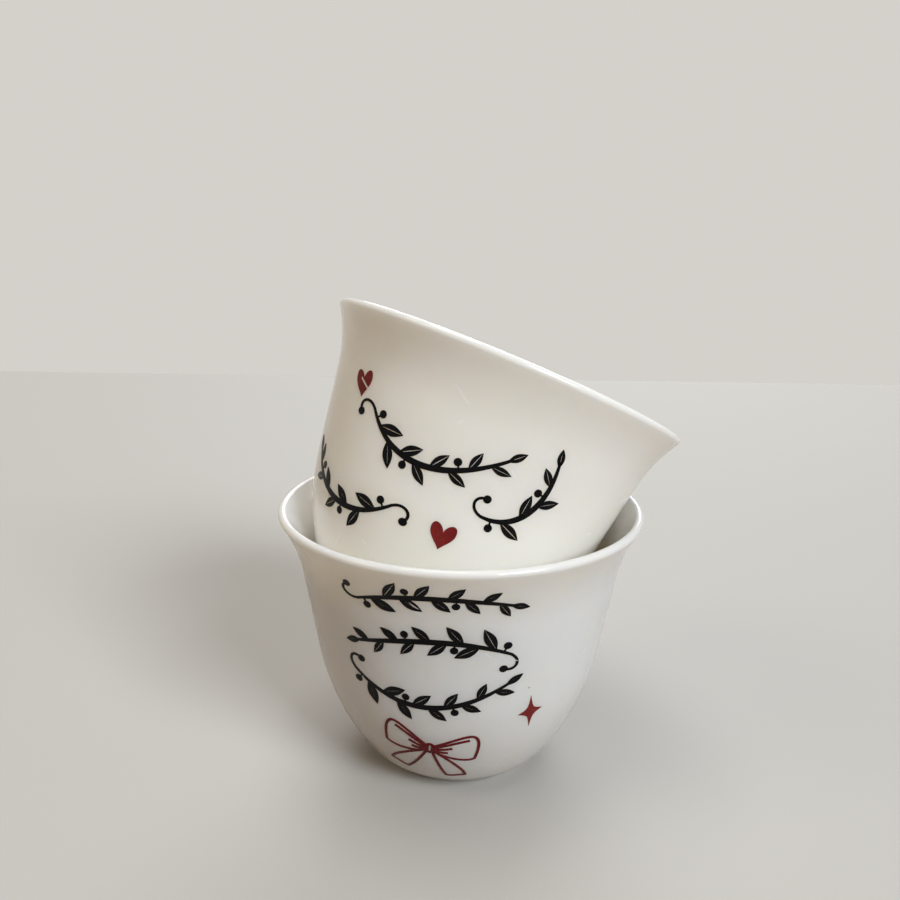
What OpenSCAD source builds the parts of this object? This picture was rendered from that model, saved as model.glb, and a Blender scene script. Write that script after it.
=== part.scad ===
// Two handleless coffee cups, stacked: one stands on its foot and the other leans in its mouth.
// The origin is the centre of the lower cup's foot ring, on the table. +Z is up, -Y is the printed front.

/* [Cup] */
// Outer diameter at the rim
rim_d = 65; // [58:0.5:72]
// Height from the table to the top of the lip
cup_h = 49; // [44:0.5:56]
// Outer diameter of the foot ring
foot_d = 28.5; // [25:0.5:32]
// Height of the foot ring below the bowl
foot_h = 1.6; // [1.2:0.1:2.2]
// Width of the foot ring, side to side
ring_w = 1.8; // [1.4:0.1:2.4]
// Thickness of the wall beside the floor
floor_t = 3.2; // [2.6:0.1:3.8]
// Thickness of the wall at the belly and the throat
wall_t = 2.9; // [2.2:0.1:3.2]
// Thickness of the rounded lip
lip_t = 1.5; // [1.2:0.1:2]
// Slope of the flared lip, up from level
lip_slope = 58; // [54:1:66]

/* [Lean of the upper cup] */
// Lean of the upper cup's axis from upright
lean = 25.5; // [22:0.5:28]
// Direction that it leans to, turned from +X towards +Y
lean_turn = 30; // [0:1:60]
// Gap left between the two cups where they touch, measured level
seat_gap = 0.25; // [0.2:0.05:0.4]

/* [Prints] */
// Thickness of the fired enamel
enamel_t = 0.08; // [0.06:0.01:0.15]
// Width of the hearts
heart_w = 4.1; // [3.4:0.1:4.8]
// Height of the four-pointed sparkle
sparkle_h = 7; // [5.8:0.1:7.6]
// Width of the tied bow
bow_w = 15.5; // [13:0.5:16.5]
// Width of the bow's drawn line
bow_line_w = 0.5; // [0.4:0.05:0.6]
// Length of a full-grown leaf
leaf_l = 4.8; // [3.8:0.1:5.4]
// Width of a full-grown leaf
leaf_w = 1.9; // [1.5:0.1:2.2]
// Width of a stem at its thickest
stem_w = 1; // [0.7:0.05:1.2]
// Length of a vine on the lower cup
vine_l = 27; // [22:0.5:29]
// Length of the long sprig on the upper cup
sprig_l = 27; // [22:0.5:29]
// Width of a berry
berry_w = 1.3; // [1:0.1:1.6]

/* [Hidden] */
$fn = 96;

porcelain = [0.93, 0.91, 0.86];
black_enamel = [0.07, 0.06, 0.07];
red_enamel = [0.62, 0.12, 0.14];
dark_red_enamel = [0.5, 0.06, 0.12];

// Cup section, from the foot up: share of the rim radius, share of the height, slope from level
hip_share = [0.563, 0.084, 54.5];
waist_share = [0.806, 0.476, 80.4];
throat_share = [0.883, 0.778, 80.4];
foot_slope = 8;
rim_r = rim_d / 2;
foot_r = foot_d / 2;
lip_c = [rim_r - lip_t / 2, cup_h - lip_t / 2];
lip_side = [sin(lip_slope), -cos(lip_slope)] * lip_t / 2;
edge_share = 0.17;
ring_edge = ring_w * edge_share;
recess_share = 0.75;
recess_h = foot_h * recess_share;

// Straight steps along each run of the section
corner_n = 7;
belly_n = 13;
flare_n = 9;
floor_n = 5;
// Steps along the straight wall when looking for where the cups touch
wall_n = 8;

// Point at share t of a cubic curve, and its direction there
function at(p, t) =
    pow(1 - t, 3) * p[0] + 3 * pow(1 - t, 2) * t * p[1] + 3 * (1 - t) * t * t * p[2] + pow(t, 3) * p[3];
function way(p, t) =
    pow(1 - t, 2) * (p[1] - p[0]) + 2 * (1 - t) * t * (p[2] - p[1]) + t * t * (p[3] - p[2]);
function slope(v) = atan2(v.y, v.x);
function aim(angle) = [cos(angle), sin(angle)];

// Cubic curve between two stations [r, z, slope, wall], bent as a round arc would be
function run_curve(a, b) =
    let (p = [a[0], a[1]], q = [b[0], b[1]], reach = norm(q - p) / 3 / pow(cos((b[2] - a[2]) / 4), 2))
    [p, p + aim(a[2]) * reach, q - aim(b[2]) * reach, q];
function run(a, b, n, first = 1) =
    let (c = run_curve(a, b))
    [for (i = [first:n]) let (t = i / n, s = at(c, t))
        [s.x, s.y, slope(way(c, t)), a[3] + (b[3] - a[3]) * t]];

// Stations of the outside, from the edge of the foot to the root of the lip
foot_station = [foot_r, foot_h, foot_slope, floor_t];
function shared(s, wall) = [s[0] * rim_r, s[1] * cup_h, s[2], wall];
hip = shared(hip_share, (floor_t + wall_t) / 2);
waist = shared(waist_share, wall_t);
throat = shared(throat_share, wall_t);
lip_root = [lip_c.x + lip_side.x, lip_c.y + lip_side.y, lip_slope, lip_t];
stations = concat(run(foot_station, hip, corner_n, 0), run(hip, waist, belly_n), run(waist, throat, 1),
                  run(throat, lip_root, flare_n));

function offset_point(s, out) = [s[0] + sin(s[2]) * out, s[1] - cos(s[2]) * out];
outside = [for (s = stations) offset_point(s, 0)];
inside = [for (s = stations) offset_point(s, -s[3])];
floor_edge = [inside[0].x, inside[0].y, foot_slope, 0];
floor_mid = [0, inside[0].y - inside[0].x * tan(foot_slope) / 2, 0, 0];
floor_line = [for (s = run(floor_mid, floor_edge, floor_n, 0)) [s[0], s[1]]];

function reversed(list) = [for (i = [len(list) - 1:-1:0]) list[i]];

// Radius of the bowl's hollow at each height, with the round of the lip
lip_step = 10;
lip_inside = [for (a = [lip_slope + 90 - lip_step:-lip_step:90]) lip_c + aim(a) * lip_t / 2];
hollow = concat([for (p = inside) [p.y, p.x]], [for (p = lip_inside) [p.y, p.x]]);

// Radius and slope of the outside at each height
function r_at(z) = lookup(z, [for (s = stations) [s[1], s[0]]]);
function slope_at(z) = lookup(z, [for (s = stations) [s[1], s[2]]]);

// Foot ring: outer side, tread, inner side and the hollow under the floor
ring = [[foot_r, foot_h], [foot_r - ring_edge, ring_edge], [foot_r - 2 * ring_edge, 0],
        [foot_r - ring_w + ring_edge, 0], [foot_r - ring_w, ring_edge],
        [foot_r - ring_w - ring_edge, recess_h], [0, recess_h]];

module cup_section() {
    polygon(concat(reversed(ring), [for (i = [1:len(outside) - 1]) outside[i]], reversed(inside),
                   reversed([for (i = [0:floor_n - 1]) floor_line[i]])));
    translate(lip_c) circle(d = lip_t);
}

module cup() rotate_extrude() cup_section();

// The seat of the upper cup. Its outside is sampled, tipped by the lean, then slid and lifted until
// the same gap is left on both sides of the lower cup's mouth.
side_share = 0.028;
seat_side = rim_r * side_share;
seat_steps = 18;
turn_step = 7.5;
straight = [for (s = run(waist, throat, wall_n)) [s[0], s[1]]];
skin_points = concat([for (i = [1:2]) ring[i]], outside, straight, [[rim_r, lip_c.y]]);
tipped = [for (p = skin_points) for (a = [0:turn_step:360 - turn_step])
    [p.x * cos(a) * cos(lean) + p.y * sin(lean), p.x * sin(a) + seat_side,
     p.y * cos(lean) - p.x * cos(a) * sin(lean)]];
far = rim_d;
function gap(p, slide, lift) =
    p.z + lift > cup_h ? far : lookup(p.z + lift, hollow) - norm([p.x + slide, p.y]);
function low_gap(slide, lift) = min([for (p = tipped) if (p.x + slide < 0) gap(p, slide, lift)]);
function high_gap(slide, lift) = min([for (p = tipped) if (p.x + slide >= 0) gap(p, slide, lift)]);
function lift_for(slide, a = 0, b = cup_h, n = seat_steps) =
    let (m = (a + b) / 2)
    n == 0 ? b :
    min(low_gap(slide, m), high_gap(slide, m)) < seat_gap ? lift_for(slide, m, b, n - 1) :
    lift_for(slide, a, m, n - 1);
function slide_for(a = -rim_r / 2, b = 0, n = seat_steps) =
    let (m = (a + b) / 2, lift = lift_for(m))
    n == 0 ? [m, lift] :
    low_gap(m, lift) > high_gap(m, lift) ? slide_for(a, m, n - 1) :
    slide_for(m, b, n - 1);
seat = slide_for();
echo(seat_slide = seat[0], seat_side = seat_side, seat_lift = seat[1]);

module as_upper()
    rotate([0, 0, lean_turn])
    translate([seat[0], seat_side, seat[1]])
    rotate([0, lean, 0])
    rotate([0, 0, -lean_turn])
    children();

// Prints
// A place on the wall: turn round the cup from +X, share of the height, twist in its own plane
heart_places_share = [[-140.5, 0.755, 8], [-93.5, 0.408, 4]];
sparkle_place_share = [-62, 0.414, 6];
bow_place_share = [-101.1, 0.267, -9];
vine_places_share = [[-98, 0.85, 0], [-100, 0.69, 0], [-99, 0.505, 0]];
sprig_places_share = [[-107, 0.645, 0], [-75, 0.64, 0], [-138, 0.415, 0]];
stamp_depth = rim_r / 2;

module enamel_skin() rotate_extrude()
    polygon(concat([for (s = stations) offset_point(s, enamel_t)], reversed(outside)));

// Stamps a flat drawing through the skin, square to the wall at its place
module stamp(place) {
    z = place[1] * cup_h;
    rotate([0, 0, place[0]]) translate([r_at(z), 0, z]) rotate([0, 90 - slope_at(z), 0]) rotate([90, 0, 90])
        rotate([0, 0, place[2]]) linear_extrude(height = stamp_depth, center = true) children();
}

// A drawn line along a cubic curve: size times shares, swelling from the end width to the middle width
line_n = 12;
function side(c, t, out) = let (w = way(c, t)) at(c, t) + [-w.y, w.x] / norm(w) * out;
function swell(t, ends, middle) = (ends + (middle - ends) * sin(180 * t)) / 2;
module line(size, shares, ends, middle) {
    c = size * shares;
    ts = [for (i = [0:line_n]) i / line_n];
    polygon(concat([for (t = ts) side(c, t, swell(t, ends, middle))],
                   [for (t = reversed(ts)) side(c, t, -swell(t, ends, middle))]));
}

heart_lobe_share = [[0, 0.16], [0.08, 0.52], [0.56, 0.68], [0.5, 0.16]];
heart_flank_share = [[0.5, 0.16], [0.46, -0.12], [0.14, -0.32], [0, -0.56]];
lobe_n = 8;
module heart() {
    half = [for (c = [heart_lobe_share, heart_flank_share]) for (i = [0:lobe_n - 1])
        at(heart_w * c, i / lobe_n)];
    tip = heart_w * heart_flank_share[3];
    polygon(concat(half, [tip], [for (p = reversed(half)) if (p.x > 0) [-p.x, p.y]]));
}

// A star of four points: from point to point its side is a curve drawn in towards the middle
sparkle_arm_share = 0.64;
sparkle_waist_share = 0.2;
sparkle_n = 8;
module sparkle() {
    tall = sparkle_h / 2;
    waist = [1, 1] * sparkle_waist_share;
    side = [for (i = [0:sparkle_n - 1]) at([[1, 0], waist, waist, [0, 1]], i / sparkle_n)];
    polygon([for (turn = [0:90:270]) for (p = side)
        [tall * sparkle_arm_share * (p.x * cos(turn) - p.y * sin(turn)),
         tall * (p.x * sin(turn) + p.y * cos(turn))]]);
}

// Half of the bow: the loop, its fold and two creases, a tail, and half of the knot with its crease
bow_lines_share = [
    [[0.05, 0.05], [0.18, 0.15], [0.33, 0.27], [0.43, 0.275]],
    [[0.42, 0.275], [0.53, 0.27], [0.52, 0.08], [0.49, -0.12]],
    [[0.495, -0.11], [0.43, -0.19], [0.2, -0.13], [0.05, -0.055]],
    [[0.06, 0.025], [0.18, 0.1], [0.29, 0.17], [0.41, 0.21]],
    [[0.06, -0.005], [0.11, 0.005], [0.17, 0.02], [0.24, 0.055]],
    [[0.06, -0.03], [0.1, -0.04], [0.15, -0.045], [0.2, -0.035]],
    [[0.03, -0.05], [0.08, -0.2], [0.14, -0.38], [0.22, -0.55]],
    [[0.21, -0.54], [0.28, -0.56], [0.35, -0.5], [0.43, -0.5]],
    [[0.42, -0.51], [0.41, -0.38], [0.26, -0.18], [0.05, -0.05]],
    [[-0.01, 0.075], [0.075, 0.08], [0.08, -0.07], [-0.01, -0.075]],
    [[0.02, 0.07], [0.03, 0.03], [0.03, -0.03], [0.02, -0.07]]];
module bow() for (flip = [0, 1]) mirror([flip, 0]) for (shares = bow_lines_share)
    line(bow_w, shares, bow_line_w, bow_line_w);

// A leaf swells along a sine and is pointed at both ends
leaf_n = 6;
module leaf(l, w)
    polygon([for (i = [0:2 * leaf_n - 1]) let (t = i < leaf_n ? i / leaf_n : 2 - i / leaf_n)
        [l * t, sin(i * 180 / leaf_n) * w / 2]]);

// A branch: a swelling stem, leaves in turn on either side, one at the tip, a berry on a stalk behind some
// of the leaves, and a tendril that curls from the root and ends in a berry
leaf_turn = 42;
leaf_fade_share = 0.35;
stem_end_share = 0.45;
berry_n = 12;
berry_every = 3;
berry_back_share = 0.45;
stalk_w_share = 0.3;
curl_share = [[0.02, 0], [-0.075, 0], [-0.09, 0.1], [-0.01, 0.105]];
function side_of(i, even_side) = i % 2 == 0 ? even_side : -even_side;
module branch(l, shares, leaves, even_side) {
    c = l * shares;
    ends = stem_w * stem_end_share;
    stalk_w = stem_w * stalk_w_share;
    line(l, shares, ends, stem_w);
    translate(c[0]) rotate(slope(way(c, 0))) mirror([0, (1 - even_side) / 2]) {
        line(vine_l, curl_share, ends, ends);
        translate(vine_l * curl_share[3]) berry();
    }
    for (i = [1:leaves])
        let (t = i / (leaves + 1), size = 1 - leaf_fade_share * t)
        translate(at(c, t)) rotate(slope(way(c, t)) + leaf_turn * side_of(i, even_side))
            leaf(leaf_l * size, leaf_w * size);
    for (i = [1:berry_every:leaves])
        let (t = (i - berry_back_share) / (leaves + 1))
        translate(at(c, t)) rotate(slope(way(c, t)) + 90 * side_of(i, even_side)) {
            translate([0, -stalk_w / 2]) square([berry_w, stalk_w]);
            translate([berry_w, 0]) berry();
        }
    last = 1 - leaf_fade_share;
    end = slope(way(c, 1));
    translate(c[3] - aim(end) * stem_w) rotate(end) leaf(leaf_l * last, leaf_w * last);
}

module berry() polygon([for (i = [0:berry_n - 1]) aim(i * 360 / berry_n) * berry_w / 2]);

// Branch curves, as shares of their lengths
vine_shares = [[[-0.46, -0.05], [-0.18, 0.1], [0.16, 0.12], [0.47, -0.02]],
               [[0.48, -0.06], [0.2, 0.12], [-0.14, 0.07], [-0.46, -0.06]],
               [[-0.5, 0.06], [-0.2, -0.16], [0.14, -0.12], [0.46, 0.08]]];
sprig_shares = [[[-0.46, 0.08], [-0.24, -0.2], [0.14, -0.16], [0.46, 0.12]],
                [[-0.3, -0.42], [0.1, -0.46], [0.34, -0.1], [0.22, 0.4]],
                [[0.44, 0.02], [0.16, -0.2], [-0.24, -0.14], [-0.44, 0.14]]];
// Side of each branch's curl: 1 to the left of its way, -1 to the right
vine_sides = [1, 1, 1];
sprig_sides = [-1, 1, 1];
sprig_size_share = [0.95, 0.56, 0.9];
sprig_leaves = [8, 4, 7];
vine_leaves = 9;

module lower_cup() color(porcelain) cup();
module lower_bow_print() color(dark_red_enamel) intersection() {
    enamel_skin();
    stamp(bow_place_share) bow();
}
module lower_sparkle_print() color(red_enamel) intersection() {
    enamel_skin();
    stamp(sparkle_place_share) sparkle();
}
module lower_vine_print() color(black_enamel) intersection() {
    enamel_skin();
    union() for (i = [0:len(vine_places_share) - 1])
        stamp(vine_places_share[i]) branch(vine_l, vine_shares[i], vine_leaves, vine_sides[i]);
}
module upper_cup() color(porcelain) as_upper() cup();
module upper_heart_print() color(red_enamel) as_upper() intersection() {
    enamel_skin();
    union() for (place = heart_places_share) stamp(place) heart();
}
module upper_sprig_print() color(black_enamel) as_upper() intersection() {
    enamel_skin();
    union() for (i = [0:len(sprig_places_share) - 1])
        stamp(sprig_places_share[i])
            branch(sprig_l * sprig_size_share[i], sprig_shares[i], sprig_leaves[i], sprig_sides[i]);
}

lower_cup();
lower_bow_print();
lower_sparkle_print();
lower_vine_print();
upper_cup();
upper_heart_print();
upper_sprig_print();
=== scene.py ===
import math

import bpy
import numpy as np
from mathutils import Matrix, Vector


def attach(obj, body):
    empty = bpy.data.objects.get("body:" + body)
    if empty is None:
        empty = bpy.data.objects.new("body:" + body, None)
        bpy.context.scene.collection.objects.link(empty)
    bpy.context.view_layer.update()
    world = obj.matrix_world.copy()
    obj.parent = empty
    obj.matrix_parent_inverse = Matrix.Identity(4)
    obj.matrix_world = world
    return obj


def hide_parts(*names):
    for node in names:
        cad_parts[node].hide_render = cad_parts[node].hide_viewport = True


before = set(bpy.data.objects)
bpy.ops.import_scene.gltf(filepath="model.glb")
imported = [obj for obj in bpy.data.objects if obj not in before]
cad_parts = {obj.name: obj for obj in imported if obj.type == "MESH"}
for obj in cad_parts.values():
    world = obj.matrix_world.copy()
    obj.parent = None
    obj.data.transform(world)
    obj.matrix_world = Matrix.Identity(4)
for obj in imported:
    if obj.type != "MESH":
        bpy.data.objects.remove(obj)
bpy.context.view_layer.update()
mm = 0.001


# Picking and joining

def pickOnly(*objects):
    if bpy.context.object and bpy.context.object.mode != "OBJECT":
        bpy.ops.object.mode_set(mode="OBJECT")
    bpy.ops.object.select_all(action="DESELECT")
    for obj in objects:
        obj.select_set(True)
    bpy.context.view_layer.objects.active = objects[0]


def joined(parts):
    pickOnly(*parts)
    if len(parts) > 1:
        bpy.ops.object.join()
    return bpy.context.object


def copied(obj, matrix):
    twin = obj.copy()
    twin.data = obj.data.copy()  # each copy has its own mesh
    bpy.context.collection.objects.link(twin)
    twin.matrix_world = matrix
    return twin


def placeInMesh(obj):
    pickOnly(obj)
    bpy.ops.object.transform_apply(location=True, rotation=True, scale=True)


def turned(angle, axis):
    return Matrix.Rotation(math.radians(angle), 4, axis)


# Curves

def curvePoint(c, t):
    s = 1 - t
    return c[0] * s ** 3 + c[1] * 3 * s * s * t + c[2] * 3 * s * t * t + c[3] * t ** 3


def curveWay(c, t):
    s = 1 - t
    return (c[1] - c[0]) * s * s + (c[2] - c[1]) * 2 * s * t + (c[3] - c[2]) * t * t


def aim(angle):
    return Vector((math.cos(math.radians(angle)), math.sin(math.radians(angle))))


def slopeOf(way):
    return math.degrees(math.atan2(way.y, way.x))


def sized(shares, size):
    return [Vector(share) * size for share in shares]


# The cup's section, in millimetres

cup = {
    "rimWidth": 65, "height": 49, "footWidth": 28.5, "footHeight": 1.6, "ringWidth": 1.8,
    "floorWall": 3.2, "bellyWall": 2.9, "lipWall": 1.5, "lipSlope": 58, "footSlope": 8,
    "hip": (0.563, 0.084, 54.5), "waist": (0.806, 0.476, 80.4), "throat": (0.883, 0.778, 80.4),
    "ringEdge": 0.17, "recess": 0.75,
    "hipSteps": 14, "bellySteps": 26, "wallSteps": 8, "flareSteps": 20, "lipSteps": 18, "floorSteps": 10,
    "turnSteps": 208, "weld": 0.001, "smoothBelow": 50, "unrolledAt": 0.85,
}
cornerCut = 0.25


def sectionRun(a, b, steps, first=1):
    start, end = Vector(a[:2]), Vector(b[:2])
    reach = (end - start).length / 3 / math.cos(math.radians((b[2] - a[2]) / 4)) ** 2
    c = [start, start + aim(a[2]) * reach, end - aim(b[2]) * reach, end]
    shares = [i / steps for i in range(first, steps + 1)]
    return [(*curvePoint(c, t), slopeOf(curveWay(c, t)), a[3] + (b[3] - a[3]) * t) for t in shares]


def softened(points, rounds=2):
    for _ in range(rounds):
        cut = [points[0]]
        for a, b in zip(points, points[1:]):
            cut += [a.lerp(b, cornerCut), a.lerp(b, 1 - cornerCut)]
        points = cut + [points[-1]]
    return points


rimR, cupH, footR = cup["rimWidth"] / 2, cup["height"], cup["footWidth"] / 2
ringW, lipR = cup["ringWidth"], cup["lipWall"] / 2
lipCentre = Vector((rimR - lipR, cupH - lipR))
lipRoot = lipCentre + aim(cup["lipSlope"] - 90) * lipR
# Radius, height, slope and wall at each stop, from the foot up
stops = [
    (footR, cup["footHeight"], cup["footSlope"], cup["floorWall"]),
    (cup["hip"][0] * rimR, cup["hip"][1] * cupH, cup["hip"][2], (cup["floorWall"] + cup["bellyWall"]) / 2),
    (cup["waist"][0] * rimR, cup["waist"][1] * cupH, cup["waist"][2], cup["bellyWall"]),
    (cup["throat"][0] * rimR, cup["throat"][1] * cupH, cup["throat"][2], cup["bellyWall"]),
    (lipRoot.x, lipRoot.y, cup["lipSlope"], cup["lipWall"]),
]
stations = sectionRun(stops[0], stops[1], cup["hipSteps"], 0)
for below, above, steps in zip(stops[1:], stops[2:], ["bellySteps", "wallSteps", "flareSteps"]):
    stations += sectionRun(below, above, cup[steps])
outside = [Vector(s[:2]) for s in stations]
inside = [Vector(s[:2]) + aim(s[2] + 90) * s[3] for s in stations]
lipTurns = [cup["lipSlope"] - 90 + 180 * i / cup["lipSteps"] for i in range(1, cup["lipSteps"])]
lipArc = [lipCentre + aim(turn) * lipR for turn in lipTurns]
floorMid = (0, inside[0].y - inside[0].x * math.tan(math.radians(cup["footSlope"])) / 2, 0, 0)
floorEdge = (inside[0].x, inside[0].y, cup["footSlope"], 0)
floorLine = [Vector(s[:2]) for s in sectionRun(floorMid, floorEdge, cup["floorSteps"], 0)]
edge = ringW * cup["ringEdge"]
recessH = cup["footHeight"] * cup["recess"]
# The foot ring's hollow, its tread and its outer edge
ring = [Vector(p) for p in [
    (0, recessH), (footR - ringW - edge * 4, recessH), (footR - ringW - edge, recessH), (footR - ringW, edge),
    (footR - ringW + edge, 0), (footR - 2 * edge, 0), (footR - edge, edge), (footR, cup["footHeight"])]]
section = softened(ring + outside[1:3]) + outside[3:] + lipArc + inside[::-1] + floorLine[:-1][::-1]


# Radius and slope of the outside at a height
def wallAt(height):
    radii, heights, slopes, _ = zip(*stations)
    return np.interp(height, heights, radii), np.interp(height, heights, slopes)


# Place of each face's corners, in the order of the UV map
def corners(mesh):
    place = np.empty(len(mesh.vertices) * 3)
    mesh.vertices.foreach_get("co", place)
    vertex = np.empty(len(mesh.loops), dtype=int)
    mesh.loops.foreach_get("vertex_index", vertex)
    return place.reshape(-1, 3)[vertex]


# UV map in metres on the unrolled wall; the inside's lies two heights above the outside's
def unroll(body):
    mesh = body.data
    place = corners(mesh)
    counts = [len(face.vertices) for face in mesh.polygons]
    middle = np.repeat([face.center for face in mesh.polygons], counts, axis=0)
    normal = np.repeat([face.normal for face in mesh.polygons], counts, axis=0)
    turn, turnMiddle = np.arctan2(place[:, 1], place[:, 0]), np.arctan2(middle[:, 1], middle[:, 0])
    turn = turnMiddle + (turn - turnMiddle + np.pi) % (2 * np.pi) - np.pi  # no step across the seam
    inner = (normal[:, 0] * middle[:, 0] + normal[:, 1] * middle[:, 1]) < 0
    along = turn * rimR * cup["unrolledAt"] * mm
    spot = np.stack([along, place[:, 2]], axis=1) + np.outer(inner, (0, 2 * cupH * mm))
    mesh.uv_layers[0].name = "unrolled"
    mesh.uv_layers[0].data.foreach_set("uv", spot.ravel())


def spinCup(name):
    bpy.ops.object.select_all(action="DESELECT")
    bpy.ops.mesh.primitive_plane_add(size=mm)
    body = bpy.context.object
    body.name = name
    bpy.ops.object.mode_set(mode="EDIT")
    bpy.ops.mesh.select_mode(type="VERT")
    bpy.ops.mesh.select_all(action="SELECT")
    bpy.ops.mesh.merge(type="CENTER")
    bpy.ops.mesh.select_all(action="SELECT")
    last = Vector((0, 0))
    for i, point in enumerate(section):
        step = Vector((point.x - last.x, 0, point.y - last.y)) * mm
        if i == 0:
            bpy.ops.transform.translate(value=step)
        else:
            bpy.ops.mesh.extrude_region_move(TRANSFORM_OT_translate={"value": step})
        last = point
    bpy.ops.mesh.select_all(action="SELECT")
    bpy.ops.mesh.spin(steps=cup["turnSteps"], angle=2 * math.pi, center=(0, 0, 0), axis=(0, 0, 1))
    bpy.ops.mesh.select_all(action="SELECT")
    bpy.ops.mesh.remove_doubles(threshold=cup["weld"] * mm)
    bpy.ops.mesh.normals_make_consistent(inside=False)
    bpy.ops.object.mode_set(mode="OBJECT")
    bpy.ops.object.shade_smooth_by_angle(angle=math.radians(cup["smoothBelow"]))
    height = body.data.attributes.new("cupHeight", "FLOAT", "POINT")  # stays with the cup when it is tipped
    height.data.foreach_set("value", [v.co.z for v in body.data.vertices])
    unroll(body)
    return body


# Where the upper cup rests in the lower one, as the part's source solves it
seat = {"lean": 25.5, "leanTurn": 30, "slide": -10.8595, "side": 0.91, "lift": 27.6468}
seatSpot = Matrix.Translation(Vector((seat["slide"], seat["side"], seat["lift"])) * mm)
leant = turned(seat["leanTurn"], "Z") @ seatSpot @ turned(seat["lean"], "Y")
upperPlace = leant @ turned(-seat["leanTurn"], "Z")
lowerPlace = Matrix.Identity(4)

lowerCup = spinCup("lowerCup")
upperCup = copied(lowerCup, upperPlace)
upperCup.name = "upperCup"
placeInMesh(upperCup)
print("cups spun")


# Flat drawing of the prints, in millimetres

# Flat strip of faces between two edges, each given as a point for every t from 0 to 1
def drawBand(left, right, along, across):
    bpy.ops.object.select_all(action="DESELECT")
    bpy.ops.mesh.primitive_grid_add(x_subdivisions=across, y_subdivisions=along, size=1)
    band = bpy.context.object
    for v in band.data.vertices:
        t, s = min(max(v.co.y + 0.5, 0), 1), v.co.x + 0.5  # the grid runs from -0.5 to 0.5
        v.co = left(t).lerp(right(t), s).to_3d() * mm
    if sum(face.normal.z for face in band.data.polygons) < 0:
        bpy.ops.object.mode_set(mode="EDIT")
        bpy.ops.mesh.select_all(action="SELECT")
        bpy.ops.mesh.flip_normals()
        bpy.ops.object.mode_set(mode="OBJECT")
    return band


def drawLine(c, ends, middle, along, across):
    def side(t, out):
        way = curveWay(c, t)
        half = (ends + (middle - ends) * math.sin(math.pi * t)) / 2
        return curvePoint(c, t) + Vector((-way.y, way.x)).normalized() * half * out
    return drawBand(lambda t: side(t, 1), lambda t: side(t, -1), along, across)


# Place is the turn round the cup, the share of its height, and the drawing's own turn
def stamped(parts, target, place, base):
    flat = joined(parts)  # the first part lies unturned at the origin, so the rest join in its frame
    height = place[1] * cupH
    radius, slope = wallAt(height)
    flat.data.uv_layers[0].name = "unrolled"
    spot = corners(flat.data)[:, :2] + (place[0] * mm, height * mm)
    flat.data.uv_layers[0].data.foreach_set("uv", spot.ravel())
    onWall = base @ turned(place[0], "Z") @ Matrix.Translation((radius * mm, 0, height * mm))
    facing = onWall @ turned(90 - slope, "Y") @ turned(90, "Z") @ turned(90, "X")
    away = Matrix.Translation((0, 0, prints["standOff"] * mm))
    flat.matrix_world = facing @ turned(place[2], "Z") @ away
    wrap = flat.modifiers.new("wrap", "SHRINKWRAP")
    wrap.wrap_method = "PROJECT"
    wrap.target = target
    wrap.use_project_z = True
    wrap.use_negative_direction = True
    wrap.use_positive_direction = False
    film = flat.modifiers.new("film", "SOLIDIFY")
    film.thickness = prints["film"] * mm
    film.offset = prints["filmOut"]
    for modifier in ["wrap", "film"]:
        bpy.ops.object.modifier_apply(modifier=modifier)
    placeInMesh(flat)
    return flat


def printPiece(name, stamps):
    piece = joined(stamps)
    piece.name = name
    pickOnly(piece)
    bpy.ops.object.shade_smooth_by_angle(angle=math.radians(prints["smoothBelow"]))
    return piece


prints = {"film": 0.1, "filmOut": 0.6, "standOff": 6, "smoothBelow": 35}

heart = {
    "width": 4.1, "places": [(-140.5, 0.755, 8), (-93.5, 0.408, 4)], "steps": (28, 6),
    "lobe": [(0, 0.16), (0.08, 0.52), (0.56, 0.68), (0.5, 0.16)],
    "flank": [(0.5, 0.16), (0.46, -0.12), (0.14, -0.32), (0, -0.56)],
}


def drawHeart():
    lobe, flank = sized(heart["lobe"], heart["width"]), sized(heart["flank"], heart["width"])

    def rimPoint(t):
        return curvePoint(flank, 1 - t * 2) if t < 0.5 else curvePoint(lobe, 2 - t * 2)

    def middle(t):
        return flank[3].lerp(lobe[0], t)

    halves = []
    for sign in (1, -1):
        def rim(t):
            return Vector((rimPoint(t).x * sign, rimPoint(t).y))
        halves.append(drawBand(middle, rim, *heart["steps"]))
    return halves


heartStamps = [stamped(drawHeart(), upperCup, place, upperPlace) for place in heart["places"]]
heartPrint = printPiece("upperHeartPrint", heartStamps)

sparkle = {"height": 7, "armShare": 0.64, "waistShare": 0.2, "place": (-62, 0.414, 6), "steps": (36, 8)}


def drawSparkle():
    waist = (sparkle["waistShare"], sparkle["waistShare"])
    quarter = sized([(1, 0), waist, waist, (0, 1)], sparkle["height"] / 2)

    def side(t, sign):
        p = curvePoint(quarter, abs(2 * t - 1))
        return Vector((p.x * sparkle["armShare"] * sign, math.copysign(p.y, t - 0.5)))
    return [drawBand(lambda t: side(t, -1), lambda t: side(t, 1), *sparkle["steps"])]


sparkleStamp = stamped(drawSparkle(), lowerCup, sparkle["place"], lowerPlace)
sparklePrint = printPiece("lowerSparklePrint", [sparkleStamp])

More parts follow.
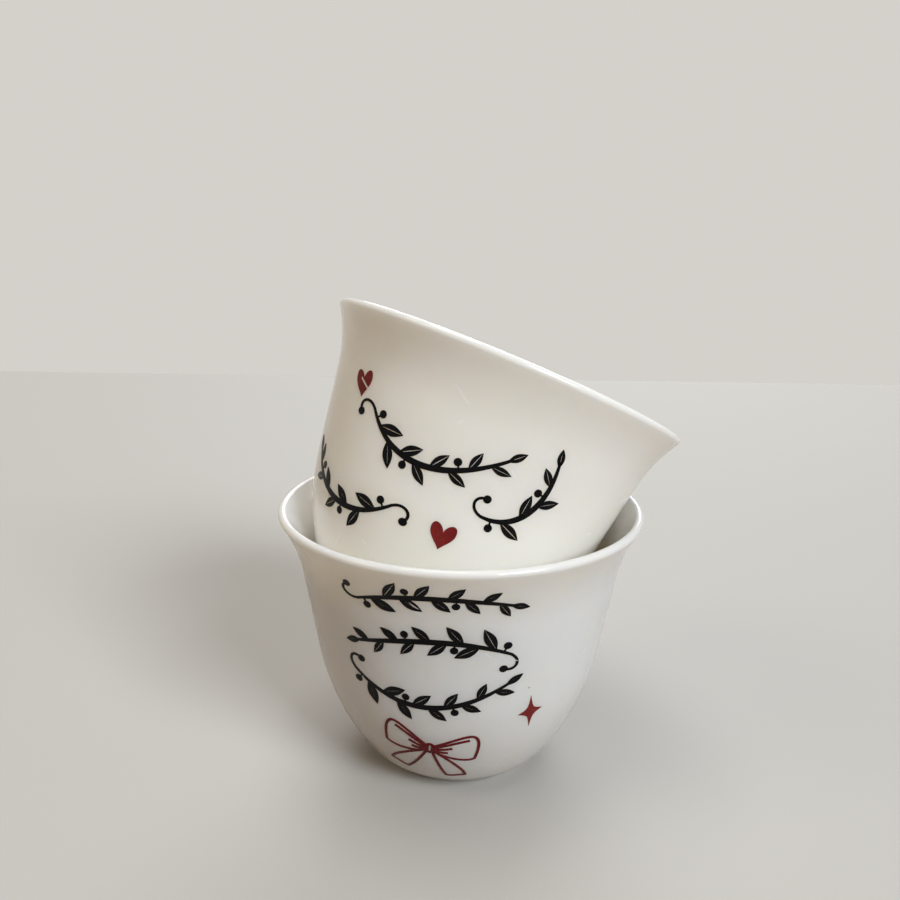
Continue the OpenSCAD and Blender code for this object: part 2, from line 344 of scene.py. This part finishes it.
bow = {
    "width": 15.5, "lineWidth": 0.5, "place": (-101.1, 0.267, -9), "steps": (24, 2),
    "lines": [
        [(0.05, 0.05), (0.18, 0.15), (0.33, 0.27), (0.43, 0.275)],
        [(0.42, 0.275), (0.53, 0.27), (0.52, 0.08), (0.49, -0.12)],
        [(0.495, -0.11), (0.43, -0.19), (0.2, -0.13), (0.05, -0.055)],
        [(0.06, 0.025), (0.18, 0.1), (0.29, 0.17), (0.41, 0.21)],
        [(0.06, -0.005), (0.11, 0.005), (0.17, 0.02), (0.24, 0.055)],
        [(0.06, -0.03), (0.1, -0.04), (0.15, -0.045), (0.2, -0.035)],
        [(0.03, -0.05), (0.08, -0.2), (0.14, -0.38), (0.22, -0.55)],
        [(0.21, -0.54), (0.28, -0.56), (0.35, -0.5), (0.43, -0.5)],
        [(0.42, -0.51), (0.41, -0.38), (0.26, -0.18), (0.05, -0.05)],
        [(-0.01, 0.075), (0.075, 0.08), (0.08, -0.07), (-0.01, -0.075)],
        [(0.02, 0.07), (0.03, 0.03), (0.03, -0.03), (0.02, -0.07)]],
}


def drawBow():
    parts = []
    for sign in (1, -1):
        for line in bow["lines"]:
            c = sized([(x * sign, y) for x, y in line], bow["width"])
            parts.append(drawLine(c, bow["lineWidth"], bow["lineWidth"], *bow["steps"]))
    return parts


bowStamp = stamped(drawBow(), lowerCup, bow["place"], lowerPlace)
bowPrint = printPiece("lowerBowPrint", [bowStamp])

vine = {
    "length": 27, "leafLength": 4.8, "leafWidth": 1.9, "leafTurn": 42, "leafFade": 0.35, "rib": 0.13,
    "stem": 1, "stemEnd": 0.45, "berry": 1.3, "berryEvery": 3, "berryBack": 0.45, "stalk": 0.3,
    "stemSteps": (48, 3), "curlSteps": (24, 3), "stalkSteps": (6, 2), "leafSteps": (14, 3), "berrySides": 24,
    "curl": [(0.02, 0), (-0.075, 0), (-0.09, 0.1), (-0.01, 0.105)],
    "places": [(-98, 0.85, 0), (-100, 0.69, 0), (-99, 0.505, 0)],
    "curves": [
        [(-0.46, -0.05), (-0.18, 0.1), (0.16, 0.12), (0.47, -0.02)],
        [(0.48, -0.06), (0.2, 0.12), (-0.14, 0.07), (-0.46, -0.06)],
        [(-0.5, 0.06), (-0.2, -0.16), (0.14, -0.12), (0.46, 0.08)]],
    "sides": [1, 1, 1], "leaves": [9, 9, 9], "sizes": [1, 1, 1],
}
sprig = {
    "length": 27, "sizes": [0.95, 0.56, 0.9], "leaves": [8, 4, 7], "sides": [-1, 1, 1],
    "curves": [
        [(-0.46, 0.08), (-0.24, -0.2), (0.14, -0.16), (0.46, 0.12)],
        [(-0.3, -0.42), (0.1, -0.46), (0.34, -0.1), (0.22, 0.4)],
        [(0.44, 0.02), (0.16, -0.2), (-0.24, -0.14), (-0.44, 0.14)]],
    "places": [(-107, 0.645, 0), (-75, 0.64, 0), (-138, 0.415, 0)],
}


def drawLeaf():
    halves = []
    for sign in (1, -1):
        def nearRib(t):
            return Vector((vine["leafLength"] * t, sign * vine["rib"] / 2 * math.sin(math.pi * t)))

        def rimPoint(t):
            return Vector((vine["leafLength"] * t, sign * vine["leafWidth"] / 2 * math.sin(math.pi * t)))
        halves.append(drawBand(nearRib, rimPoint, *vine["leafSteps"]))
    return joined(halves)


def drawBerry():
    bpy.ops.object.select_all(action="DESELECT")
    bpy.ops.mesh.primitive_circle_add(vertices=vine["berrySides"], radius=vine["berry"] / 2 * mm,
                                      fill_type="TRIFAN")
    berry = bpy.context.object
    bpy.ops.object.mode_set(mode="EDIT")
    bpy.ops.mesh.select_all(action="SELECT")
    bpy.ops.mesh.subdivide(number_cuts=1)
    bpy.ops.object.mode_set(mode="OBJECT")
    return berry


leafMaster, berryMaster = drawLeaf(), drawBerry()


def flatPlace(point, turn):
    return Matrix.Translation(point.to_3d() * mm) @ turned(turn, "Z")


def drawBranch(length, curve, leafCount, evenSide):
    c = sized(curve, length)
    ends, stalkWidth = vine["stem"] * vine["stemEnd"], vine["stem"] * vine["stalk"]
    stalkLine = sized([(0, 0), (1 / 3, 0), (2 / 3, 0), (1, 0)], vine["berry"])
    parts = [drawLine(c, ends, vine["stem"], *vine["stemSteps"])]
    root = flatPlace(c[0], slopeOf(curveWay(c, 0)))
    curl = sized([(x, y * evenSide) for x, y in vine["curl"]], vine["length"])
    tendril = drawLine(curl, ends, ends, *vine["curlSteps"])
    tendril.matrix_world = root
    parts += [tendril, copied(berryMaster, root @ flatPlace(curl[3], 0))]
    for i in range(1, leafCount + 1):
        t = i / (leafCount + 1)
        side = evenSide if i % 2 == 0 else -evenSide
        size = 1 - vine["leafFade"] * t
        turn = slopeOf(curveWay(c, t)) + vine["leafTurn"] * side
        parts.append(copied(leafMaster, flatPlace(curvePoint(c, t), turn) @ Matrix.Scale(size, 4)))
        if i % vine["berryEvery"] == 1:
            t = (i - vine["berryBack"]) / (leafCount + 1)
            out = flatPlace(curvePoint(c, t), slopeOf(curveWay(c, t)) + 90 * side)
            stalk = drawLine(stalkLine, stalkWidth, stalkWidth, *vine["stalkSteps"])
            stalk.matrix_world = out
            parts += [stalk, copied(berryMaster, out @ flatPlace(stalkLine[3], 0))]
    tip = slopeOf(curveWay(c, 1))
    tipPlace = flatPlace(c[3] - aim(tip) * vine["stem"], tip)
    parts.append(copied(leafMaster, tipPlace @ Matrix.Scale(1 - vine["leafFade"], 4)))
    return parts


def branchStamps(values, target, base):
    stamps = []
    for i, place in enumerate(values["places"]):
        length = values["length"] * values["sizes"][i]
        parts = drawBranch(length, values["curves"][i], values["leaves"][i], values["sides"][i])
        stamps.append(stamped(parts, target, place, base))
    return stamps


vinePrint = printPiece("lowerVinePrint", branchStamps(vine, lowerCup, lowerPlace))
sprigPrint = printPiece("upperSprigPrint", branchStamps(sprig, upperCup, upperPlace))
pickOnly(leafMaster, berryMaster)
bpy.ops.object.delete()
print("prints stamped")


# Shader node groups

# Each value is the node's own setting, or the value of its socket of that name
def addNode(tree, kind, **values):
    node = tree.nodes.new(kind)
    for key, value in values.items():
        if hasattr(node, key):
            setattr(node, key, value)
        else:
            node.inputs[key].default_value = value
    return node


def feed(tree, value, socket):
    if isinstance(value, bpy.types.NodeSocket):
        tree.links.new(value, socket)
    else:
        socket.default_value = value


def mathNode(tree, operation, a, b):
    node = addNode(tree, "ShaderNodeMath", operation=operation)
    feed(tree, a, node.inputs[0])
    feed(tree, b, node.inputs[1])
    return node.outputs[0]


def opaque(colour):
    return (*colour, 1) if isinstance(colour, tuple) else colour


def mixColour(tree, factor, a, b):
    node = addNode(tree, "ShaderNodeMix", data_type="RGBA")
    feed(tree, factor, node.inputs[0])
    feed(tree, opaque(a), node.inputs[6])
    feed(tree, opaque(b), node.inputs[7])
    return node.outputs[2]


# Smooth change from outLow to outHigh as the value goes from low to high
def spread(tree, value, low, high, outLow=0.0, outHigh=1.0):
    node = addNode(tree, "ShaderNodeMapRange", interpolation_type="SMOOTHSTEP")
    tree.links.new(value, node.inputs["Value"])
    for key, number in zip(("From Min", "From Max", "To Min", "To Max"), (low, high, outLow, outHigh)):
        node.inputs[key].default_value = number
    return node.outputs["Result"]


def newGroup(name, inputs, outputs):
    group = bpy.data.node_groups.new(name, "ShaderNodeTree")
    for label, kind, value in inputs:
        socket = group.interface.new_socket(name=label, in_out="INPUT", socket_type=kind)
        if value is not None:
            socket.default_value = value
    for label, kind in outputs:
        group.interface.new_socket(name=label, in_out="OUTPUT", socket_type=kind)
    return group, group.nodes.new("NodeGroupInput"), group.nodes.new("NodeGroupOutput")


def placeGroup(tree, group, vector, **values):
    node = addNode(tree, "ShaderNodeGroup", node_tree=group)
    tree.links.new(vector, node.inputs["Vector"])
    for key, value in values.items():
        node.inputs[key].default_value = value
    return node


scratches = {
    "turns": [(78, 1.7), (-52, 5.3), (35, 9.1)], "patchLevel": 0.75, "patchWear": 0.3,
    "wave": {"Distortion": 4.0, "Detail": 1.0, "Detail Scale": 0.35},
    "patch": {"Scale": 130.0, "Detail": 1.0},
}


# Thin lines in three directions, broken up into patches that spread as Worn grows
def hairlineGroup():
    group, given, put = newGroup("hairlines", [
        ("Vector", "NodeSocketVector", None), ("Lines", "NodeSocketFloat", 20),
        ("Thin", "NodeSocketFloat", 0.999), ("Worn", "NodeSocketFloat", 0.5)], [("Mask", "NodeSocketFloat")])
    total = None
    for turn, shift in scratches["turns"]:
        mapping = addNode(group, "ShaderNodeMapping")
        mapping.inputs["Rotation"].default_value = (0, 0, math.radians(turn))
        mapping.inputs["Location"].default_value = (shift, shift * 2, 0)
        wave = addNode(group, "ShaderNodeTexWave", **scratches["wave"])
        patch = addNode(group, "ShaderNodeTexNoise", **scratches["patch"])
        group.links.new(given.outputs["Vector"], mapping.inputs["Vector"])
        group.links.new(mapping.outputs[0], wave.inputs["Vector"])
        group.links.new(mapping.outputs[0], patch.inputs["Vector"])
        group.links.new(given.outputs["Lines"], wave.inputs["Scale"])
        line = mathNode(group, "GREATER_THAN", wave.outputs["Fac"], given.outputs["Thin"])
        lowered = mathNode(group, "MULTIPLY", given.outputs["Worn"], scratches["patchWear"])
        level = mathNode(group, "SUBTRACT", scratches["patchLevel"], lowered)
        there = mathNode(group, "GREATER_THAN", patch.outputs["Fac"], level)
        line = mathNode(group, "MULTIPLY", line, there)
        total = line if total is None else mathNode(group, "MAXIMUM", total, line)
    group.links.new(total, put.inputs["Mask"])
    return group


clouds = {"roughness": 0.55, "low": 0.3, "high": 0.7}


def cloudGroup():
    group, given, put = newGroup("softClouds", [
        ("Vector", "NodeSocketVector", None), ("Scale", "NodeSocketFloat", 60),
        ("Detail", "NodeSocketFloat", 3)], [("Mask", "NodeSocketFloat")])
    noise = addNode(group, "ShaderNodeTexNoise", Roughness=clouds["roughness"])
    for key in ("Vector", "Scale", "Detail"):
        group.links.new(given.outputs[key], noise.inputs[key])
    group.links.new(spread(group, noise.outputs["Fac"], clouds["low"], clouds["high"]), put.inputs["Mask"])
    return group


# Round spots of different sizes in a chosen share of the cells
def speckGroup():
    group, given, put = newGroup("firedSpecks", [
        ("Vector", "NodeSocketVector", None), ("Scale", "NodeSocketFloat", 250),
        ("Size", "NodeSocketFloat", 0.05), ("Amount", "NodeSocketFloat", 0.1)], [("Mask", "NodeSocketFloat")])
    cells = addNode(group, "ShaderNodeTexVoronoi")
    group.links.new(given.outputs["Vector"], cells.inputs["Vector"])
    group.links.new(given.outputs["Scale"], cells.inputs["Scale"])
    parts = addNode(group, "ShaderNodeSeparateColor")
    group.links.new(cells.outputs["Color"], parts.inputs[0])
    radius = mathNode(group, "MULTIPLY", given.outputs["Size"], parts.outputs[1])
    near = mathNode(group, "LESS_THAN", cells.outputs["Distance"], radius)
    chosen = mathNode(group, "LESS_THAN", parts.outputs[0], given.outputs["Amount"])
    group.links.new(mathNode(group, "MULTIPLY", near, chosen), put.inputs["Mask"])
    return group


hairlines, softClouds, firedSpecks = hairlineGroup(), cloudGroup(), speckGroup()


def newMaterial(name, sockets):
    material = bpy.data.materials.new(name)
    material.use_nodes = True
    shader = material.node_tree.nodes["Principled BSDF"]
    for key, value in sockets.items():
        shader.inputs[key].default_value = value
    coords = material.node_tree.nodes.new("ShaderNodeTexCoord")
    return material, material.node_tree, shader, coords.outputs["Object"]


def maskOf(tree, group, vector, values):
    return placeGroup(tree, group, vector, **values).outputs["Mask"]


def unrolled(tree):
    return addNode(tree, "ShaderNodeUVMap", uv_map="unrolled").outputs["UV"]


def bumped(tree, shader, height, depth):
    bump = addNode(tree, "ShaderNodeBump", Distance=depth)
    tree.links.new(height, bump.inputs["Height"])
    tree.links.new(bump.outputs[0], shader.inputs["Normal"])


# Heights and depths in metres
porcelain = {
    "body": {"IOR": 1.5, "Subsurface Weight": 0.5, "Subsurface Radius": (0.010, 0.008, 0.0056),
             "Subsurface Scale": 1.0},
    "cream": (0.83, 0.813, 0.775), "warm": (0.815, 0.787, 0.725), "footBand": (0.66, 0.63, 0.56),
    "speck": (0.30, 0.22, 0.15), "scratch": (0.93, 0.92, 0.90), "biscuit": (0.72, 0.66, 0.56),
    "warmShare": 0.6, "footBandShare": 0.6, "speckShare": 0.7, "scratchShare": 0.5,
    "treadLow": 0.00024, "treadHigh": 0.0004, "footBandLow": 0.0012, "footBandMiddle": 0.0019, "footBandHigh": 0.0026,
    "broad": {"Scale": 45.0, "Detail": 2.0}, "fine": {"Scale": 140.0, "Detail": 3.0},
    "specks": {"Scale": 260.0, "Size": 0.07, "Amount": 0.02},
    "scratches": {"Lines": 11.0, "Thin": 0.9996, "Worn": 0.35},
    "gloss": (0.04, 0.09), "treadMatt": 0.6, "broadWaves": 2.0, "waves": 0.00003,
}


def porcelainMaterial():
    material, tree, shader, place = newMaterial("glazedPorcelain", porcelain["body"])
    broad = maskOf(tree, softClouds, place, porcelain["broad"])
    fine = maskOf(tree, softClouds, place, porcelain["fine"])
    specks = maskOf(tree, firedSpecks, place, porcelain["specks"])
    scratched = maskOf(tree, hairlines, unrolled(tree), porcelain["scratches"])
    height = addNode(tree, "ShaderNodeAttribute", attribute_name="cupHeight").outputs["Fac"]
    tread = spread(tree, height, porcelain["treadLow"], porcelain["treadHigh"], 1.0, 0.0)
    # A darker, warmer band just above the foot, where the foot meets the body, mixed in by cupHeight
    footBandIn = spread(tree, height, porcelain["footBandLow"], porcelain["footBandMiddle"])
    footBandOut = spread(tree, height, porcelain["footBandMiddle"], porcelain["footBandHigh"], 1.0, 0.0)
    footBand = mathNode(tree, "MULTIPLY", footBandIn, footBandOut)
    colour = porcelain["cream"]
    for mask, share, over in ((broad, "warmShare", "warm"), (footBand, "footBandShare", "footBand"),
                              (specks, "speckShare", "speck"), (scratched, "scratchShare", "scratch")):
        factor = mathNode(tree, "MULTIPLY", mask, porcelain[share])
        colour = mixColour(tree, factor, colour, porcelain[over])
    colour = mixColour(tree, tread, colour, porcelain["biscuit"])
    tree.links.new(colour, shader.inputs["Base Color"])
    matt = mathNode(tree, "MULTIPLY", tread, porcelain["treadMatt"])
    gloss = mathNode(tree, "ADD", spread(tree, fine, 0.0, 1.0, *porcelain["gloss"]), matt)
    tree.links.new(gloss, shader.inputs["Roughness"])
    waves = mathNode(tree, "ADD", fine, mathNode(tree, "MULTIPLY", broad, porcelain["broadWaves"]))
    bumped(tree, shader, mathNode(tree, "SUBTRACT", waves, scratched), porcelain["waves"])
    return material


enamel = {
    "body": {"IOR": 1.18}, "fineShare": 0.5, "broadShare": 0.4, "wornShare": 0.8,
    "fine": {"Scale": 420.0, "Detail": 4.0}, "broad": {"Scale": 90.0, "Detail": 2.0},
    "pits": {"Scale": 900.0, "Size": 0.16, "Amount": 0.08}, "scratches": {"Lines": 24.0, "Thin": 0.9988},
    "gloss": (0.16, 0.3), "waves": 0.00002,
}
enamelColours = {
    "blackEnamel": {"deep": (0.002, 0.002, 0.0026), "thin": (0.006, 0.0053, 0.006), "worn": 0.15},
    "redEnamel": {"deep": (0.15, 0.009, 0.008), "thin": (0.225, 0.027, 0.025), "worn": 0.35},
    "darkRedEnamel": {"deep": (0.12, 0.005, 0.008), "thin": (0.17, 0.016, 0.022), "worn": 0.15},
}


def enamelMaterial(name, values):
    material, tree, shader, place = newMaterial(name, enamel["body"])
    fine = maskOf(tree, softClouds, place, enamel["fine"])
    broad = maskOf(tree, softClouds, place, enamel["broad"])
    pits = maskOf(tree, firedSpecks, place, enamel["pits"])
    scratched = maskOf(tree, hairlines, unrolled(tree), {**enamel["scratches"], "Worn": values["worn"]})
    bare = mathNode(tree, "MAXIMUM", scratched, pits)
    colour = values["deep"]
    for mask, share, over in ((fine, "fineShare", values["thin"]), (broad, "broadShare", values["thin"]),
                              (bare, "wornShare", porcelain["cream"])):
        colour = mixColour(tree, mathNode(tree, "MULTIPLY", mask, enamel[share]), colour, over)
    tree.links.new(colour, shader.inputs["Base Color"])
    tree.links.new(spread(tree, fine, 0.0, 1.0, *enamel["gloss"]), shader.inputs["Roughness"])
    bumped(tree, shader, mathNode(tree, "SUBTRACT", fine, scratched), enamel["waves"])
    return material


glaze = porcelainMaterial()
ink = {name: enamelMaterial(name, values) for name, values in enamelColours.items()}


def dress(piece, material, body, node):
    piece.data.materials.clear()
    piece.data.materials.append(material)
    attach(piece, body)
    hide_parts(node)


dress(lowerCup, glaze, "lower", "lower_cup")
dress(upperCup, glaze, "upper", "upper_cup")
dress(bowPrint, ink["darkRedEnamel"], "lower", "lower_bow_print")
dress(sparklePrint, ink["redEnamel"], "lower", "lower_sparkle_print")
dress(vinePrint, ink["blackEnamel"], "lower", "lower_vine_print")
dress(heartPrint, ink["redEnamel"], "upper", "upper_heart_print")
dress(sprigPrint, ink["blackEnamel"], "upper", "upper_sprig_print")
print("materials set")


# Floor, light and camera

studio = {
    "floorSize": 2.4, "floorBack": 0.376, "floorBody": {"Roughness": 0.7}, "floorClouds": {"Scale": 3.0},
    "floorColour": (0.48, 0.465, 0.44), "floorShade": 0.985, "floorBounce": (0.15, 0.09, 0.05),
    "wallColour": (0.66, 0.635, 0.60), "fillLevel": 0.18, "fillColour": (1.0, 0.89, 0.74), "aimHeight": 0.04,
    "lamps": [
        ("windowRight", (3.8, -4.4, 4.0), 2.8, 476, (0.87, 0.94, 1.0)),
        ("lampLeft", (-2.2, -0.9, 2.2), 1.2, 12, (1.0, 0.80, 0.57)),
        ("softBehind", (0.4, 2.6, 1.6), 2.0, 42, (0.94, 0.97, 1.0)),
        ("skyAbove", (-0.3, 0.1, 3.2), 1.4, 30, (1.0, 0.985, 0.95))],
}


# The pale background shows on these rays; the light that it throws on the cups is darker
def seenRays(tree):
    path = addNode(tree, "ShaderNodeLightPath")
    seen = path.outputs["Is Camera Ray"]
    for ray in ["Is Glossy Ray", "Is Transmission Ray"]:
        seen = mathNode(tree, "MAXIMUM", seen, path.outputs[ray])
    return seen


bpy.ops.object.select_all(action="DESELECT")
floorMiddle = (0, studio["floorBack"] - studio["floorSize"] / 2, 0)
bpy.ops.mesh.primitive_plane_add(size=studio["floorSize"], location=floorMiddle)
floor = bpy.context.object
floor.name = "floor"
floorMaterial, floorTree, floorShader, floorPlace = newMaterial("paleFloor", studio["floorBody"])
floorMask = maskOf(floorTree, softClouds, floorPlace, studio["floorClouds"])
floorShaded = tuple(studio["floorShade"] * c for c in studio["floorColour"])
floorPale = mixColour(floorTree, floorMask, studio["floorColour"], floorShaded)
floorColour = mixColour(floorTree, seenRays(floorTree), studio["floorBounce"], floorPale)
floorTree.links.new(floorColour, floorShader.inputs["Base Color"])
floor.data.materials.append(floorMaterial)

world = bpy.data.worlds.new("studio")
bpy.context.scene.world = world
world.use_nodes = True
worldTree = world.node_tree
light = worldTree.nodes["Background"]
light.inputs["Color"].default_value = opaque(studio["fillColour"])
light.inputs["Strength"].default_value = studio["fillLevel"]
seen = addNode(worldTree, "ShaderNodeBackground", Color=opaque(studio["wallColour"]))
mixed = addNode(worldTree, "ShaderNodeMixShader")
worldTree.links.new(seenRays(worldTree), mixed.inputs[0])
worldTree.links.new(light.outputs[0], mixed.inputs[1])
worldTree.links.new(seen.outputs[0], mixed.inputs[2])
worldTree.links.new(mixed.outputs[0], worldTree.nodes["World Output"].inputs["Surface"])

aimedAt = Vector((0, 0, studio["aimHeight"]))
for name, spot, size, power, colour in studio["lamps"]:
    bpy.ops.object.light_add(type="AREA", location=spot)
    lamp = bpy.context.object
    lamp.name = name
    lamp.data.size = size
    lamp.data.energy = power
    lamp.data.color = colour
    lamp.rotation_euler = (aimedAt - Vector(spot)).to_track_quat("-Z", "Y").to_euler()

view = {
    "place": (0, -0.149, 0.0998), "turn": 0.785, "tilt": -15.508, "roll": 0.719,
    "lens": 34.68, "sensor": 36, "near": 0.01,
}
bpy.ops.object.camera_add(location=view["place"])
camera = bpy.context.object
aimed = turned(view["turn"], "Z") @ turned(90 + view["tilt"], "X") @ turned(view["roll"], "Z")
camera.rotation_euler = aimed.to_euler()
camera.data.lens = view["lens"]
camera.data.sensor_width = view["sensor"]
camera.data.clip_start = view["near"]
bpy.context.scene.camera = camera
bpy.context.scene.view_settings.view_transform = "Standard"
print("studio set")
